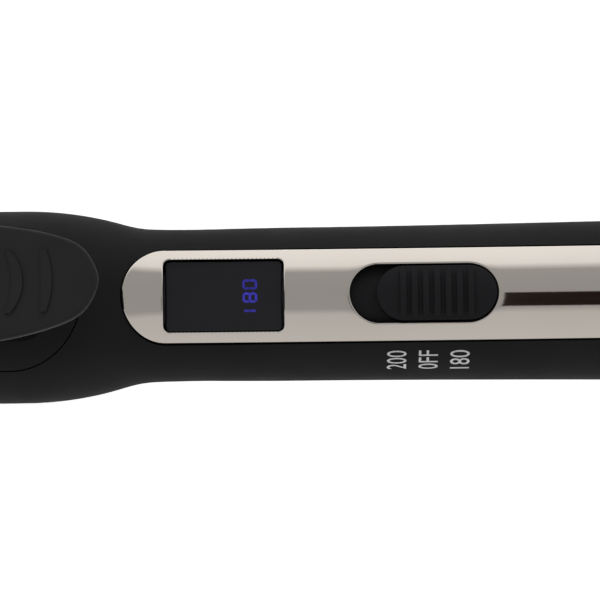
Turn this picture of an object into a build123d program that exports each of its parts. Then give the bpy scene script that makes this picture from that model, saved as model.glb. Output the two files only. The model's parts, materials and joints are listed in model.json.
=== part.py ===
from build123d import *

import os
from functools import lru_cache
from math import sqrt

# A curling iron with a thumb lever clamp, a display window and a three position slide switch.
#
# Row frame, millimetres: +X runs along the iron from the cool tip to the cord end, +Z points up out of the
# display face and +Y is across. The origin is midway along the iron, below its axis, at the level of the
# stand's foot. Sketches use planes through the iron's axis, so their heights are measured from that axis.

# ---------------------------------------------------------------- driving dimensions
AXIS_Z = 27.0  # height of the iron's axis above the stand's foot

TIP_X = -175.0  # free end of the cool tip
TIP_BACK_X = -158.0  # where the cool tip meets its insulator
BARREL_FRONT_X = -155.0
COLLAR_FRONT_X = -38.0
HEAD_FRONT_X = -15.0
TAIL_X = 165.0  # end face of the handle
GLAND_X = 175.0  # free end of the swivel gland

WALL = 2.0  # handle shell thickness
HEAD_R = 19.19  # widest radius of the head
HEAD_ARC_R = 200.0  # side arc from the widest station to the front
CROWN_FRONT_X = 11.0
CROWN_BACK_X = 22.3
SHOULDER_R = 68.7  # convex arc that leaves the head
WAIST_R = 22.6  # concave arc that meets the grip
NECK_R = 15.25  # slimmest radius of the grip
GRIP_ARC_R = 6300.0  # very slow widening of the grip towards the cord end
TAIL_ROUND = 7.0

BARREL_R = 12.5
BARREL_BORE_R = 11.4
BARREL_BACK_X = 4.0

SEAM_HALF = 0.13  # half the width of the parting line between the shells
SEAM_DEPTH = 0.5

INLAY_FRONT_X = 42.3
INLAY_BACK_X = 151.0
INLAY_HALF_W = 9.1
INLAY_END_A = 8.3  # how long each elliptical end of the inlay is
INLAY_DEPTH = 1.2
INLAY_PROUD = 0.15
INLAY_GAP = 0.35

WINDOW_X = 62.1
WINDOW_L, WINDOW_W, WINDOW_R = 23.7, 14.4, 1.4
LENS_GAP = 0.3
LENS_TOP, LENS_T, LENS_EDGE = 13.4, 3.0, 0.5  # the lens is flat, so it lies deepest at its middle
LENS_LIP, LENS_LIP_T = 1.2, 0.95
MODULE_L, MODULE_W = 25.0, 14.4
MODULE_Z0, MODULE_Z1 = 6.6, 9.2

SLOT_X = 101.2
SLOT_L, SLOT_W = 29.1, 11.7
KNOB_L, KNOB_W, KNOB_GAP = 23.4, 10.7, 0.3
KNOB_REST_X = SLOT_X + (SLOT_L - KNOB_L) / 2 - KNOB_GAP  # at the cord end of its slot
KNOB_RISE = 0.3  # top of the knob above the inlay, between its ribs
RIB_COUNT, RIB_PITCH, RIB_W, RIB_L, RIB_RISE = 7, 2.2, 1.15, 9.6, 0.75
SHIELD_L, SHIELD_W, SHIELD_T = 38.0, 15.0, 1.0

BOARD_X0, BOARD_X1 = 44.0, 138.0
BOARD_HALF_W = 10.0
BOARD_Z, BOARD_T = 2.6, 1.6
BOARD_TOP = BOARD_Z + BOARD_T
BOARD_SCREW_X = [BOARD_X0 + 2.2, BOARD_X1 - 3.5]
BOARD_SCREW_R, BOARD_SCREW_HEAD_R, POST_R = 1.0, 1.9, 2.6

PIVOT_X, PIVOT_Z = -7.0, 22.4
PIN_R = 1.5
EAR_IN, EAR_OUT = 9.3, 11.7
BASE_HALF_W = 14.1
BASE_END_X = 20.3  # centre of the round end of the lever base
BASE_GAP = 0.25
BASE_T = 2.4

PAD_TIP_X = 39.4
PAD_SIDE = [(37.3, 5.1), (31.9, 8.4), (21.0, 10.85), (9.0, 11.4), (-3.0, 9.3), (-9.0, 5.0)]  # half plan
PAD_FRONT_X = -10.6
PAD_T = 1.8
PAD_EDGE = 0.75  # rounding of the rim
CRESTS = [(30.6, 1.1), (25.0, 2.4), (19.4, 3.4)]  # tip end of each raised crescent, and its bow
CREST_W, CREST_L, CREST_RISE = 2.1, 11.8, 0.4
LEVER_HALF_W = 10.3
LEVER_DEPTH = 6.6
LEVER_WALL = 2.0
LEVER_START_X, LEVER_END_X, LEVER_END_A = 0.2, 31.0, 7.0

BLADE_R, BLADE_T, BLADE_HALF_DEG = 12.65, 0.8, 68.0
BLADE_FRONT_X, BLADE_BACK_X = -149.0, -46.0
TONGUE_HALF_DEG = 32.0
TONGUE_LIFT, TONGUE_BACK_X = 6.8, -8.5

SPRING_X, SPRING_R, SPRING_WIRE_R, SPRING_TURNS = 11.0, 3.1, 0.5, 5.5
SPRING_POCKET_R, SPRING_FLOOR_Z, SPRING_TOP_Z = 4.2, 15.4, 29.0

STAND_X, STAND_Z = -32.0, -8.0
STAND_WIRE_R = 1.3
STAND_HALF_W = 15.9
STAND_FOOT_X = -29.5  # a little behind its pivot, so weight holds it against its stop
STAND_BEND_R, STAND_CORNER_R = 4.0, 1.6
STAND_PIN_END_Y = 11.2
BOSS_START_Y, BOSS_END_Y, STAND_BOSS_R = 10.6, 14.2, 3.0

SCREW_SPOTS = [(40.0, 8.2), (40.0, -8.2), (146.0, 8.2), (146.0, -8.2)]
SCREW_R, SCREW_HEAD_R = 1.3, 2.5
BOSS_R = 3.0

GLAND_R, GLAND_FLANGE_R, CORD_R = 8.0, 10.3, 3.3
GLAND_CLEAR = 0.15
BULKHEAD_X0, BULKHEAD_X1 = 155.0, 158.5

# ---------------------------------------------------------------- shared planes and outlines
SIDE = Plane(origin=(0, 0, AXIS_Z), x_dir=(1, 0, 0), z_dir=(0, -1, 0))
UNDERSIDE = Plane(origin=(0, 0, AXIS_Z), x_dir=(1, 0, 0), z_dir=(0, 1, 0))  # its y points down
TOP = Plane.XY.offset(AXIS_Z)
IRON_AXIS = Axis((0, 0, AXIS_Z), (1, 0, 0))
FAR = 60.0  # taller than anything above the axis


def station(x):
    """The cross-section plane at x: its own x runs along +Y and its own y along +Z."""
    return Plane(origin=(x, 0, AXIS_Z), x_dir=(0, 1, 0), z_dir=(1, 0, 0))


def level(z):
    """A plan plane at a height z above the iron's axis."""
    return TOP.offset(z)


# The convex shoulder arc and the concave waist arc touch, which fixes where the neck is.
_rise = (NECK_R + WAIST_R) - (HEAD_R - SHOULDER_R)
NECK_X = CROWN_BACK_X + sqrt((SHOULDER_R + WAIST_R) ** 2 - _rise**2)
TOUCH_X = CROWN_BACK_X + (NECK_X - CROWN_BACK_X) * SHOULDER_R / (SHOULDER_R + WAIST_R)
ROUND_X = TAIL_X - TAIL_ROUND


def body_r(x):
    """Outer radius of the handle at x: front arc, crown, shoulder, waist and the slowly widening grip."""
    if x < CROWN_FRONT_X:
        return HEAD_R - HEAD_ARC_R + sqrt(HEAD_ARC_R**2 - (x - CROWN_FRONT_X) ** 2)
    if x < CROWN_BACK_X:
        return HEAD_R
    if x < TOUCH_X:
        return HEAD_R - SHOULDER_R + sqrt(SHOULDER_R**2 - (x - CROWN_BACK_X) ** 2)
    if x < NECK_X:
        return NECK_R + WAIST_R - sqrt(WAIST_R**2 - (x - NECK_X) ** 2)
    return NECK_R + (x - NECK_X) ** 2 / (2 * GRIP_ARC_R)


def inset_r(x, inset):
    """Radius at x of the form taken in by inset, allowing for the slope of the side."""
    step = 0.01
    slope = (body_r(x + step) - body_r(x - step)) / (2 * step)
    return body_r(x) - inset * sqrt(1 + slope**2)


HEAD_STATIONS = [HEAD_FRONT_X + (NECK_X - HEAD_FRONT_X) * i / 20 for i in range(20)]
GRIP_STATIONS = [NECK_X + (ROUND_X - NECK_X) * i / 6 for i in range(7)]


@lru_cache(maxsize=None)
def body_solid(inset):
    """The handle's outer form as a solid of revolution, taken in by inset."""
    side = [(x, inset_r(x, inset)) for x in HEAD_STATIONS + GRIP_STATIONS]
    top, end_x = side[-1][1], TAIL_X - inset
    end_r = top - TAIL_ROUND + inset
    with BuildPart() as solid:
        with BuildSketch(UNDERSIDE):
            with BuildLine():
                Line((HEAD_FRONT_X, 0), side[0])
                Spline(*side)
                RadiusArc(side[-1], (end_x, end_r), TAIL_ROUND - inset)
                Line((end_x, end_r), (end_x, 0))
                Line((end_x, 0), (HEAD_FRONT_X, 0))
            make_face()
        revolve(axis=IRON_AXIS)
    return solid.part


def skin(outer, inner):
    """The layer of the handle's form between two insets."""
    return body_solid(outer) - body_solid(inner)


def prism(outline, z0=0.0, z1=FAR):
    """A plan outline raised from z0 to z1 above the axis."""
    with BuildPart() as solid:
        with BuildSketch(level(z0)):
            add(outline)
        extrude(amount=z1 - z0)
    return solid.part


def layer(outline, outer, inner, z0=0.0):
    """What a plan outline takes, above the axis, from between two insets of the handle's form."""
    return (prism(outline, z0) & body_solid(outer)) - body_solid(inner)


def inlay_outline(grow=0.0):
    """The long inlay: straight sides and an elliptical end at the front and the back."""
    a, b = INLAY_END_A + grow, INLAY_HALF_W + grow
    x0, x1 = INLAY_FRONT_X + INLAY_END_A, INLAY_BACK_X - INLAY_END_A
    with BuildSketch() as outline:
        with Locations(((x0 + x1) / 2, 0)):
            Rectangle(x1 - x0, 2 * b)
        with Locations((x0, 0), (x1, 0)):
            Ellipse(a, b)
    return outline.sketch


def window_outline(grow=0.0):
    """The display window's rounded rectangle."""
    with BuildSketch() as outline:
        with Locations((WINDOW_X, 0)):
            RectangleRounded(WINDOW_L + 2 * grow, WINDOW_W + 2 * grow, WINDOW_R + grow)
    return outline.sketch


def stadium_outline(x, length, width):
    with BuildSketch() as outline:
        with Locations((x, 0)):
            SlotOverall(length, width)
    return outline.sketch


def base_outline(grow=0.0):
    """The lever base: straight sides that run out past the head's front, and a half-round end."""
    half = BASE_HALF_W + grow
    start = HEAD_FRONT_X - 5.0
    with BuildSketch() as outline:
        with Locations(((start + BASE_END_X) / 2, 0)):
            Rectangle(BASE_END_X - start, 2 * half)
        with Locations((BASE_END_X, 0)):
            Circle(half)
    return outline.sketch


def rim_arc(drop=0.0):
    """Side view of the thumb pad's rim: it climbs from the pivot and flattens towards its tip."""
    return ThreePointArc((-14.0, 23.6 - drop), (14.4, 35.05 - drop), (42.0, 40.9 - drop))


def rim_band(top_drop, bottom_drop, half_width):
    """Everything between two drops below the rim arc, across the iron."""
    with BuildPart() as solid:
        with BuildSketch(SIDE):
            with BuildLine():
                upper = rim_arc(top_drop)
                lower = rim_arc(bottom_drop)
                Line(upper @ 0, lower @ 0)
                Line(upper @ 1, lower @ 1)
            make_face()
        extrude(amount=half_width, both=True)
    return solid.part


def save(piece, name):
    """Labels a finished sub-part and writes it as its own STEP file."""
    piece.label = name
    export_step(piece, f"parts/{name}.step")


os.makedirs("parts", exist_ok=True)
OUTER = body_solid(0.0)
CAVITY = body_solid(WALL)

with BuildPart() as seam_groove_builder:
    add(skin(-1.0, SEAM_DEPTH))
    with BuildSketch(level(-SEAM_HALF)):
        with Locations(((HEAD_FRONT_X + TAIL_X) / 2, 0)):
            Rectangle(TAIL_X - HEAD_FRONT_X + 10, 60)
    extrude(amount=2 * SEAM_HALF, mode=Mode.INTERSECT)
SEAM_GROOVE = seam_groove_builder.part

# ---------------------------------------------------------------- handle shells
with BuildPart() as gland_seat:
    # A bulkhead inside the tail and the end wall hold the gland's flange between them.
    with BuildSketch(station(BULKHEAD_X0)):
        Circle(body_r(BULKHEAD_X0) - 1.0)
        Circle(GLAND_R + GLAND_CLEAR, mode=Mode.SUBTRACT)
    extrude(amount=BULKHEAD_X1 - BULKHEAD_X0)
BULKHEAD = gland_seat.part & body_solid(1.0)

with BuildPart() as handle_upper_shell:
    add(OUTER)
    add(CAVITY, mode=Mode.SUBTRACT)
    add(BULKHEAD)
    for x, y in SCREW_SPOTS:
        with BuildSketch(level(0.0)):
            with Locations((x, y)):
                Circle(BOSS_R)
        extrude(amount=FAR, mode=Mode.ADD)
    add(OUTER, mode=Mode.INTERSECT)
    split(bisect_by=TOP, keep=Keep.TOP)
    add(SEAM_GROOVE, mode=Mode.SUBTRACT)
    add(layer(inlay_outline(INLAY_GAP), -1.0, INLAY_DEPTH + 0.02), mode=Mode.SUBTRACT)
    add(prism(window_outline(0.2)), mode=Mode.SUBTRACT)
    add(prism(stadium_outline(SLOT_X, SLOT_L + 0.4, SLOT_W + 0.4)), mode=Mode.SUBTRACT)
    add(prism(base_outline(BASE_GAP)), mode=Mode.SUBTRACT)
    with BuildSketch(station(BULKHEAD_X1)):
        Circle(GLAND_R + GLAND_CLEAR)
    extrude(amount=20, mode=Mode.SUBTRACT)
    for x, y in SCREW_SPOTS:
        with BuildSketch(level(0.0)):
            with Locations((x, y)):
                Circle(SCREW_R + 0.02)
        extrude(amount=6.5, mode=Mode.SUBTRACT)
save(handle_upper_shell.part, "handle_upper_shell")

HEAD_SEAT_Z = -6.0  # where each case screw's head bears, below the axis
with BuildPart() as handle_lower_shell:
    add(OUTER)
    add(CAVITY, mode=Mode.SUBTRACT)
    add(BULKHEAD)
    for x, y in SCREW_SPOTS:
        with BuildSketch(level(0.0)):
            with Locations((x, y)):
                Circle(BOSS_R + 0.4)
        extrude(amount=-FAR, mode=Mode.ADD)
    for x in BOARD_SCREW_X:
        with BuildSketch(level(-3.0)):
            with Locations((x, 0)):
                Circle(POST_R)
        extrude(amount=-FAR, mode=Mode.ADD)
    add(OUTER, mode=Mode.INTERSECT)
    split(bisect_by=TOP, keep=Keep.BOTTOM)
    for x in BOARD_SCREW_X:
        with BuildSketch(level(-3.0)):
            with Locations((x, 0)):
                Circle(POST_R)
        extrude(amount=3.0 + BOARD_Z)
        with BuildSketch(level(BOARD_Z)):
            with Locations((x, 0)):
                Circle(BOARD_SCREW_R + 0.02)
        extrude(amount=-6.0, mode=Mode.SUBTRACT)
    add(SEAM_GROOVE, mode=Mode.SUBTRACT)
    with BuildSketch(station(BULKHEAD_X1)):
        Circle(GLAND_R + GLAND_CLEAR)
    extrude(amount=20, mode=Mode.SUBTRACT)
    for x, y in SCREW_SPOTS:
        with BuildSketch(level(0.0)):
            with Locations((x, y)):
                Circle(SCREW_R + 0.15)
        extrude(amount=-FAR, mode=Mode.SUBTRACT)
        with BuildSketch(level(HEAD_SEAT_Z)):
            with Locations((x, y)):
                Circle(SCREW_HEAD_R + 0.15)
        extrude(amount=-FAR, mode=Mode.SUBTRACT)
save(handle_lower_shell.part, "handle_lower_shell")

with BuildPart() as case_screws:
    for x, y in SCREW_SPOTS:
        with BuildSketch(level(HEAD_SEAT_Z)):
            with Locations((x, y)):
                Circle(SCREW_R)
        extrude(amount=-HEAD_SEAT_Z + 6.0)
        with BuildSketch(level(HEAD_SEAT_Z)):
            with Locations((x, y)):
                Circle(SCREW_HEAD_R)
        extrude(amount=-1.8)
        with BuildSketch(level(HEAD_SEAT_Z - 1.8)):
            with Locations((x, y)):
                Rectangle(2.6, 0.7)
                Rectangle(0.7, 2.6)
        extrude(amount=1.0, mode=Mode.SUBTRACT)
save(case_screws.part, "case_screws")

# ---------------------------------------------------------------- inlay, display and switch
with BuildPart() as inlay_trim:
    add(layer(inlay_outline(), -INLAY_PROUD, INLAY_DEPTH))
    add(prism(window_outline()), mode=Mode.SUBTRACT)
    add(prism(stadium_outline(SLOT_X, SLOT_L, SLOT_W)), mode=Mode.SUBTRACT)
save(inlay_trim.part, "inlay_trim")

with BuildPart() as display_lens:
    # The clear plate fills the window, and a lip around it bears against the inside of the shell.
    with BuildSketch(level(LENS_TOP - LENS_T)):
        add(window_outline(-LENS_GAP))
    extrude(amount=LENS_T)
    fillet(display_lens.faces().sort_by(Axis.Z)[-1].edges(), LENS_EDGE)
    add(layer(window_outline(LENS_LIP), WALL + 0.05, WALL + LENS_LIP_T))
save(display_lens.part, "display_lens")

with BuildPart() as display_module:
    with BuildSketch(level(MODULE_Z0)):
        with Locations((WINDOW_X, 0)):
            Rectangle(MODULE_L, MODULE_W)
    extrude(amount=MODULE_Z1 - MODULE_Z0)
    chamfer(display_module.faces().sort_by(Axis.Z)[-1].edges().filter_by(Axis.X), 0.5)
save(display_module.part, "display_module")

with BuildPart() as display_holder:
    with BuildSketch(level(BOARD_Z + BOARD_T)):
        with Locations((WINDOW_X, 0)):
            Rectangle(MODULE_L, MODULE_W)
            Rectangle(MODULE_L - 4.0, MODULE_W - 4.0, mode=Mode.SUBTRACT)
    extrude(amount=MODULE_Z0 - BOARD_TOP)
save(display_holder.part, "display_holder")

with BuildPart() as circuit_board:
    with BuildSketch(level(BOARD_Z)):
        with Locations(((BOARD_X0 + BOARD_X1) / 2, 0)):
            RectangleRounded(BOARD_X1 - BOARD_X0, 2 * BOARD_HALF_W, 2.0)
        for x in BOARD_SCREW_X:
            with Locations((x, 0)):
                Circle(BOARD_SCREW_R + 0.15, mode=Mode.SUBTRACT)
    extrude(amount=BOARD_T)
save(circuit_board.part, "circuit_board")

with BuildPart() as board_screws:
    for x in BOARD_SCREW_X:
        with BuildSketch(level(BOARD_TOP)):
            with Locations((x, 0)):
                Circle(BOARD_SCREW_R)
        extrude(amount=-5.0)
        with BuildSketch(level(BOARD_TOP)):
            with Locations((x, 0)):
                Circle(BOARD_SCREW_HEAD_R)
        extrude(amount=1.3)
save(board_screws.part, "board_screws")

with BuildPart() as board_components:
    for x, y, length, width, height in [
        (82.0, 0.0, 6.0, 5.0, 1.6),
        (83.0, 6.0, 4.0, 3.0, 2.4),
        (121.0, -4.0, 10.0, 7.5, 5.0),
        (120.0, 5.5, 6.0, 4.0, 4.5),
        (128.0, 3.0, 6.0, 6.0, 4.0),
    ]:
        with BuildSketch(level(BOARD_TOP)):
            with Locations((x, y)):
                Rectangle(length, width)
        extrude(amount=height)
save(board_components.part, "board_components")

SWITCH_TOP = 8.4
with BuildPart() as slide_switch_body:
    with BuildSketch(level(BOARD_TOP)):
        with Locations((SLOT_X, 0)):
            Rectangle(19.0, 8.0)
    extrude(amount=SWITCH_TOP - BOARD_TOP)
    with BuildSketch(level(BOARD_TOP + 1.0)):
        with Locations((SLOT_X, 0)):
            Rectangle(12.0, 3.6)
    extrude(amount=SWITCH_TOP - BOARD_TOP, mode=Mode.SUBTRACT)
save(slide_switch_body.part, "slide_switch_body")

with BuildPart() as switch_actuator:
    with BuildSketch(level(BOARD_TOP + 1.2)):
        with Locations((KNOB_REST_X, 0)):
            Rectangle(3.6, 3.2)
    extrude(amount=SWITCH_TOP + 1.6 - BOARD_TOP - 1.2)
save(switch_actuator.part, "switch_actuator")

with BuildPart() as switch_slider:
    # The shield under the shell hides the rest of the slot, and the stem takes the switch actuator.
    knob = stadium_outline(KNOB_REST_X, KNOB_L, KNOB_W)
    knob_top = KNOB_RISE + INLAY_PROUD
    add(layer(knob, -knob_top, WALL + 0.3))
    for i in range(RIB_COUNT):
        rib_x = KNOB_REST_X + (i - (RIB_COUNT - 1) / 2) * RIB_PITCH
        with BuildSketch(mode=Mode.PRIVATE) as rib:
            with Locations((rib_x, 0)):
                SlotOverall(RIB_L, RIB_W, rotation=90)
        add(layer(rib.sketch, -knob_top - RIB_RISE, WALL))
    with BuildSketch(mode=Mode.PRIVATE) as shield:
        with Locations((KNOB_REST_X, 0)):
            Rectangle(SHIELD_L, SHIELD_W)
    add(layer(shield.sketch, WALL + 0.15, WALL + 0.15 + SHIELD_T))
    with BuildSketch(level(SWITCH_TOP + 0.3)):
        with Locations((KNOB_REST_X, 0)):
            Rectangle(7.0, 6.4)
            Rectangle(3.8, 3.4, mode=Mode.SUBTRACT)
    extrude(amount=12.3 - SWITCH_TOP)
save(switch_slider.part, "switch_slider")

# ---------------------------------------------------------------- barrel, tip and heater
with BuildPart() as barrel:
    with BuildSketch(station(BARREL_FRONT_X)):
        Circle(BARREL_R)
        Circle(BARREL_BORE_R, mode=Mode.SUBTRACT)
    extrude(amount=BARREL_BACK_X - BARREL_FRONT_X)
save(barrel.part, "barrel")

with BuildPart() as tip_insulator:
    with BuildSketch(station(TIP_BACK_X)):
        Circle(BARREL_R)
    extrude(amount=BARREL_FRONT_X - TIP_BACK_X)
    with BuildSketch(station(BARREL_FRONT_X)):
        Circle(BARREL_BORE_R - 0.05)
    extrude(amount=6.0)
    with BuildSketch(station(TIP_BACK_X)):
        Circle(6.0)
    extrude(amount=20.0, mode=Mode.SUBTRACT)
save(tip_insulator.part, "tip_insulator")

with BuildPart() as cool_tip:
    tip_back_r, tip_front_r = 12.0, 10.4
    with BuildSketch(SIDE):
        with BuildLine():
            Line((TIP_BACK_X, 0), (TIP_BACK_X, tip_back_r))
            Line((TIP_BACK_X, tip_back_r), (TIP_X + 6.0, tip_front_r + 0.6))
            ThreePointArc(
                (TIP_X + 6.0, tip_front_r + 0.6), (TIP_X + 1.6, tip_front_r - 2.2), (TIP_X, tip_front_r - 6.0)
            )
            Line((TIP_X, tip_front_r - 6.0), (TIP_X, 0))
            Line((TIP_X, 0), (TIP_BACK_X, 0))
        make_face()
    revolve(axis=IRON_AXIS)
    for groove_x in (-162.0, -164.4, -166.8):
        with BuildSketch(SIDE):
            with Locations((groove_x, 12.3)):
                Circle(0.8)
        revolve(axis=IRON_AXIS, mode=Mode.SUBTRACT)
    with BuildSketch(station(TIP_BACK_X)):
        Circle(5.9)
    extrude(amount=12.0)
    with BuildSketch(station(TIP_X + 3.0)):
        Circle(4.2)
    extrude(amount=40.0, mode=Mode.SUBTRACT)
save(cool_tip.part, "cool_tip")

HEATER_X0, HEATER_X1 = -140.0, -60.0
HEATER_GAP = 1.55
for name, side in (("heater_block_upper", 1), ("heater_block_lower", -1)):
    with BuildPart() as heater_block:
        with BuildSketch(station(HEATER_X0)):
            Circle(BARREL_BORE_R - 0.15)
            Circle(BARREL_BORE_R - 2.2, mode=Mode.SUBTRACT)
            with Locations((0, side * (HEATER_GAP + 0.9))):
                Rectangle(19.0, 1.8)
            with Locations((0, -side * (20.0 - HEATER_GAP))):
                Rectangle(60.0, 40.0, mode=Mode.SUBTRACT)
        extrude(amount=HEATER_X1 - HEATER_X0)
    save(heater_block.part, name)

with BuildPart() as ceramic_heater:
    with BuildSketch(level(-HEATER_GAP + 0.1)):
        with Locations(((HEATER_X0 + HEATER_X1) / 2, 0)):
            Rectangle(HEATER_X1 - HEATER_X0 - 6.0, 14.0)
    extrude(amount=2 * (HEATER_GAP - 0.1))
save(ceramic_heater.part, "ceramic_heater")

with BuildPart() as temperature_sensor:
    with BuildSketch(station(HEATER_X1 - 10.0)):
        with Locations((0, 6.0)):
            Circle(1.3)
    extrude(amount=14.0)
    fillet(temperature_sensor.faces().sort_by(Axis.X)[0].edges(), 0.9)
save(temperature_sensor.part, "temperature_sensor")

with BuildPart() as thermal_fuse:
    with BuildSketch(station(-40.0)):
        with Locations((0, 6.0)):
            Circle(1.9)
    extrude(amount=11.0)
    with BuildSketch(station(-46.0)):
        with Locations((0, 6.0)):
            Circle(0.5)
    extrude(amount=23.0)
save(thermal_fuse.part, "thermal_fuse")

LEAD_R = 0.8
LEAD_END_Z = BOARD_TOP + LEAD_R + 0.05
with BuildPart() as heater_leads:
    for side in (-1, 1):
        with BuildLine():
            lead = FilletPolyline(
                (-62.0, side * 4.0, AXIS_Z),
                (2.0, side * 4.0, AXIS_Z),
                (24.0, side * 4.0, AXIS_Z + LEAD_END_Z),
                (BOARD_X0 + 4.0, side * 4.0, AXIS_Z + LEAD_END_Z),
                radius=12.0,
            )
        with BuildSketch(Plane(origin=lead @ 0, z_dir=lead % 0)):
            Circle(LEAD_R)
        sweep(path=lead)
save(heater_leads.part, "heater_leads")

# ---------------------------------------------------------------- head: collar, barrel holder and lever base
with BuildPart() as barrel_collar:
    collar_bore = BARREL_R + 0.2
    with BuildSketch(SIDE):
        with BuildLine():
            Polyline(
                (COLLAR_FRONT_X, collar_bore),
                (COLLAR_FRONT_X, 13.3),
                (COLLAR_FRONT_X + 1.0, 13.6),
                (HEAD_FRONT_X - 1.0, 16.9),
                (HEAD_FRONT_X, 16.9),
                (HEAD_FRONT_X, 14.9),
                (HEAD_FRONT_X + 1.8, 14.9),
                (HEAD_FRONT_X + 1.8, collar_bore),
                close=True,
            )
        make_face()
    revolve(axis=IRON_AXIS)
    for side in (-1, 1):
        boss_start = (STAND_X, side * BOSS_START_Y, AXIS_Z + STAND_Z)
        boss_plane = Plane(origin=boss_start, x_dir=(1, 0, 0), z_dir=(0, side, 0))
        with BuildSketch(boss_plane):
            Circle(STAND_BOSS_R)
        extrude(amount=BOSS_END_Y - BOSS_START_Y)
        with BuildSketch(boss_plane.offset(-1.0)):
            Circle(STAND_WIRE_R + 0.06)
        extrude(amount=6.0, mode=Mode.SUBTRACT)
    with BuildSketch(station(COLLAR_FRONT_X)):
        Circle(collar_bore)
    extrude(amount=HEAD_FRONT_X + 1.8 - COLLAR_FRONT_X, mode=Mode.SUBTRACT)
save(barrel_collar.part, "barrel_collar")

HOLDER_X0, HOLDER_X1 = HEAD_FRONT_X + 1.9, 5.0
with BuildPart() as barrel_holder:
    add(body_solid(WALL + 1.6))
    with BuildSketch(station(HOLDER_X0)):
        Circle(30.0)
    extrude(amount=HOLDER_X1 - HOLDER_X0, mode=Mode.INTERSECT)
    with BuildSketch(station(HOLDER_X0)):
        Circle(BARREL_R + 0.03)
    extrude(amount=BARREL_BACK_X - HOLDER_X0, mode=Mode.SUBTRACT)
    with BuildSketch(station(HOLDER_X0)):
        Circle(BARREL_BORE_R - 1.0)
    extrude(amount=30.0, mode=Mode.SUBTRACT)
save(barrel_holder.part, "barrel_holder")


def ear_outline():
    """Side view of one hinge ear: a broad foot that narrows to a round eye."""
    with BuildSketch() as ear:
        with Locations((PIVOT_X, PIVOT_Z)):
            Circle(3.3)
        with Locations((PIVOT_X + 0.5, 13.9)):
            Rectangle(13.0, 3.6)
        make_hull()
        with Locations((PIVOT_X, PIVOT_Z)):
            Circle(PIN_R + 0.02, mode=Mode.SUBTRACT)
    return ear.sketch


with BuildPart() as lever_base:
    add(layer(base_outline(), 0.0, BASE_T))
    # A thin lip lies under the shell's edge and holds the base down.
    with BuildSketch(mode=Mode.PRIVATE) as lip_plan:
        add(base_outline(1.4))
        with Locations((HEAD_FRONT_X - 5.0, 0)):
            Rectangle(14.4, 60.0, mode=Mode.SUBTRACT)
    add(layer(lip_plan.sketch, WALL + 0.05, WALL + 1.2, z0=7.0))
    for side in (-1, 1):
        with BuildSketch(SIDE.offset(-side * EAR_IN)):
            add(ear_outline())
        extrude(amount=-side * (EAR_OUT - EAR_IN))
    with BuildSketch(level(SPRING_FLOOR_Z - 1.2)):
        with Locations((SPRING_X, 0)):
            Circle(SPRING_POCKET_R + 1.2)
    extrude(amount=3.2)
    with BuildSketch(level(SPRING_FLOOR_Z)):
        with Locations((SPRING_X, 0)):
            Circle(SPRING_POCKET_R)
    extrude(amount=10.0, mode=Mode.SUBTRACT)
save(lever_base.part, "lever_base")

# ---------------------------------------------------------------- clamp: blade, lever, pad, pin, spring
BLADE_BELLY = BLADE_R + BLADE_T


def sheet_section(half_deg):
    """The blade's cross-section: a thin arc over the top of the barrel."""
    with BuildSketch() as section:
        with BuildLine():
            inner = CenterArc((0, 0), BLADE_R, 90 - half_deg, 2 * half_deg)
            outer = CenterArc((0, 0), BLADE_BELLY, 90 - half_deg, 2 * half_deg)
            Line(inner @ 0, outer @ 0)
            Line(inner @ 1, outer @ 1)
        make_face()
    return section.sketch


RIVET_SPOTS = [(-13.2, 4.0), (-13.2, -4.0)]
RIVET_R, RIVET_HEAD_R = 1.2, 2.0
NOSE_A, NOSE_B = 13.0, 12.6  # the rounded front end of the blade, in plan
TAPER_L, TAPER_HALF_W = 14.0, 7.3
with BuildPart() as clamp_blade:
    with BuildSketch(station(BLADE_FRONT_X)):
        add(sheet_section(BLADE_HALF_DEG))
    extrude(amount=BLADE_BACK_X - BLADE_FRONT_X)
    nose_x, taper_x = BLADE_FRONT_X + NOSE_A, BLADE_BACK_X - TAPER_L
    with BuildSketch(TOP):
        with Locations((nose_x, 0)):
            Ellipse(NOSE_A, NOSE_B)
        with BuildLine():
            Polyline(
                (nose_x, NOSE_B),
                (taper_x, NOSE_B),
                (BLADE_BACK_X + 1, TAPER_HALF_W),
                (BLADE_BACK_X + 1, -TAPER_HALF_W),
                (taper_x, -NOSE_B),
                (nose_x, -NOSE_B),
                close=True,
            )
        make_face()
    extrude(amount=FAR, mode=Mode.INTERSECT)
    with BuildLine(SIDE):
        FilletPolyline(
            (BLADE_BACK_X - 6.0, 0.0),
            (BLADE_BACK_X + 3.0, 0.0),
            (HEAD_FRONT_X - 3.0, TONGUE_LIFT),
            (TONGUE_BACK_X, TONGUE_LIFT),
            radius=9.0,
        )
    with BuildSketch(station(BLADE_BACK_X - 6.0)):
        add(sheet_section(TONGUE_HALF_DEG))
    sweep()
    for x, y in RIVET_SPOTS:
        with BuildSketch(TOP):
            with Locations((x, y)):
                Circle(RIVET_R + 0.02)
        extrude(amount=FAR, mode=Mode.SUBTRACT)
save(clamp_blade.part, "clamp_blade")

LEVER_HUB_R, LEVER_HUB_HALF_W = 2.6, 8.9
FLANGE_FRONT_X, FLANGE_Z, FLANGE_T = -17.0, 22.3, 3.4  # where the lever sits on the tongue


def lever_outline(grow=0.0):
    """Plan of the lever's body behind the ears: parallel sides and a rounded end."""
    half = LEVER_HALF_W + grow
    start, bend = LEVER_START_X - grow, LEVER_END_X - LEVER_END_A
    with BuildSketch() as outline:
        with Locations((bend, 0)):
            Ellipse(LEVER_END_A + grow, half)
        with Locations(((start + bend) / 2, 0)):
            Rectangle(bend - start, 2 * half)
    return outline.sketch


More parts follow.
